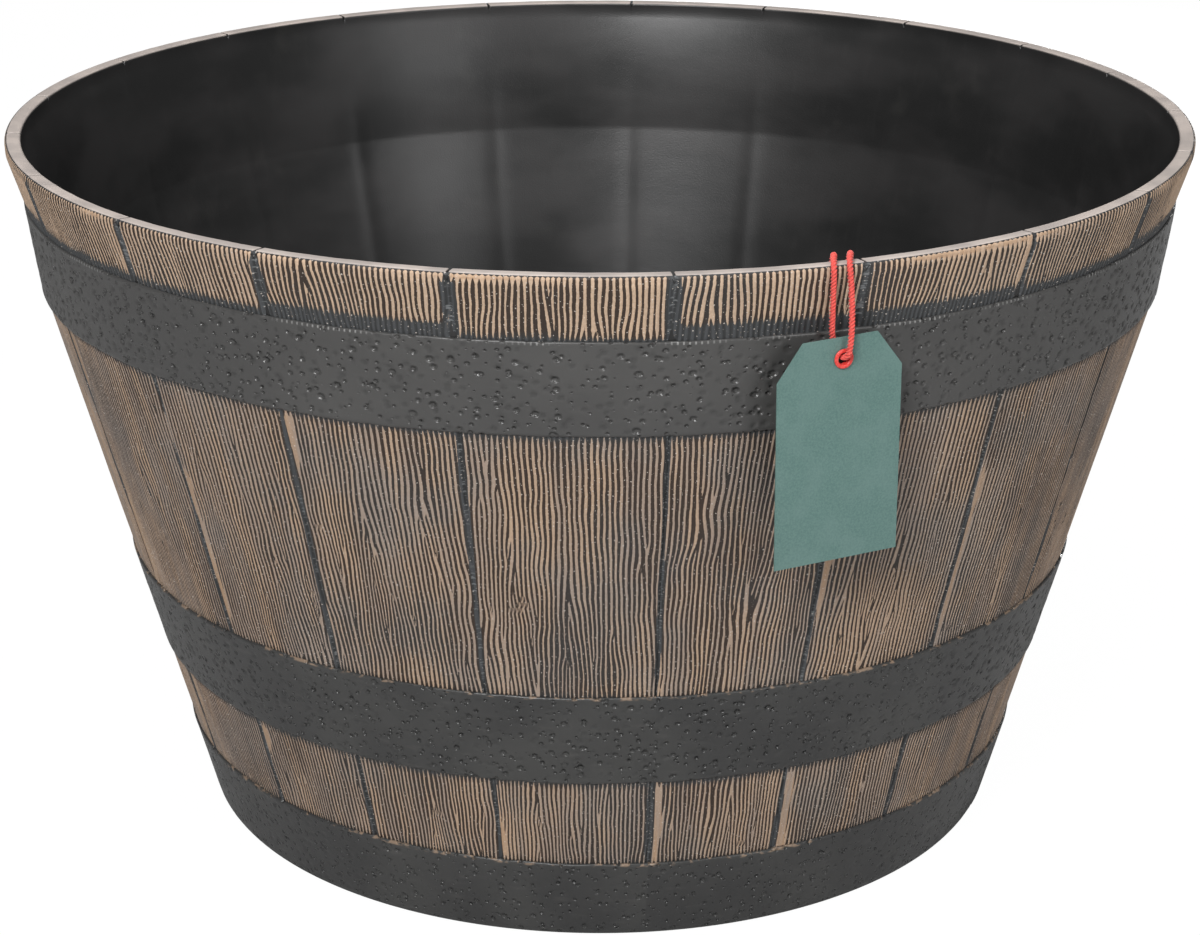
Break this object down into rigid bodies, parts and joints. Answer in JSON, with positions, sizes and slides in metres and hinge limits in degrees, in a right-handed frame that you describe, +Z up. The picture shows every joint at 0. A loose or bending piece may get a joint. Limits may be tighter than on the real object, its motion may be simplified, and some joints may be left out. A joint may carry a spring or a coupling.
{
  "type": "barrel planter",
  "caption": "Round tub planter in moulded resin made to look like a cut-down oak barrel, with a flared lip, raised hoops, push-in drain plugs and a card tag on a cord over the rim.",
  "frame": {"origin": "on the ground, under the middle of the tub", "axes": "+Z up along the tub's axis; -Y is the front, and the hang tag is to the right of the front, towards +X"},
  "size_m": [0.5008, 0.5008, 0.3036],
  "materials": {
    "resin": "charcoal resin, tan paint on the raised wood grain outside",
    "plug_rubber": "matt black",
    "tag_card": "matt grey-green card",
    "tag_eyelet": "glossy red",
    "tag_cord": "red twisted cord"
  },
  "bodies": {
    "planter": {"pot_shell": "resin", "tag_cord_left": "tag_cord", "tag_cord_right": "tag_cord", "tag_cord_knot": "tag_cord"},
    "plug_1": {"drain_plug_1": "plug_rubber"},
    "plug_2": {"drain_plug_2": "plug_rubber"},
    "plug_3": {"drain_plug_3": "plug_rubber"},
    "plug_4": {"drain_plug_4": "plug_rubber"},
    "hang_tag": {"tag_card": "tag_card", "tag_eyelet": "tag_eyelet", "tag_cord_loop": "tag_cord"}
  },
  "joints": [
    {"name": "plug_1_pull", "type": "slide", "parent": "planter", "child": "plug_1", "axis": [0, 0, 1], "range_m": [0, 0.03]},
    {"name": "plug_2_pull", "type": "slide", "parent": "planter", "child": "plug_2", "axis": [0, 0, 1], "range_m": [0, 0.03]},
    {"name": "plug_3_pull", "type": "slide", "parent": "planter", "child": "plug_3", "axis": [0, 0, 1], "range_m": [0, 0.03]},
    {"name": "plug_4_pull", "type": "slide", "parent": "planter", "child": "plug_4", "axis": [0, 0, 1], "range_m": [0, 0.03]},
    {"name": "tag_swing", "type": "hinge", "parent": "planter", "child": "hang_tag", "pos_m": [0.08453, -0.2374, 0.299], "axis": [-0.9421, -0.3354, 0], "range_deg": [-5, 90]}
  ]
}
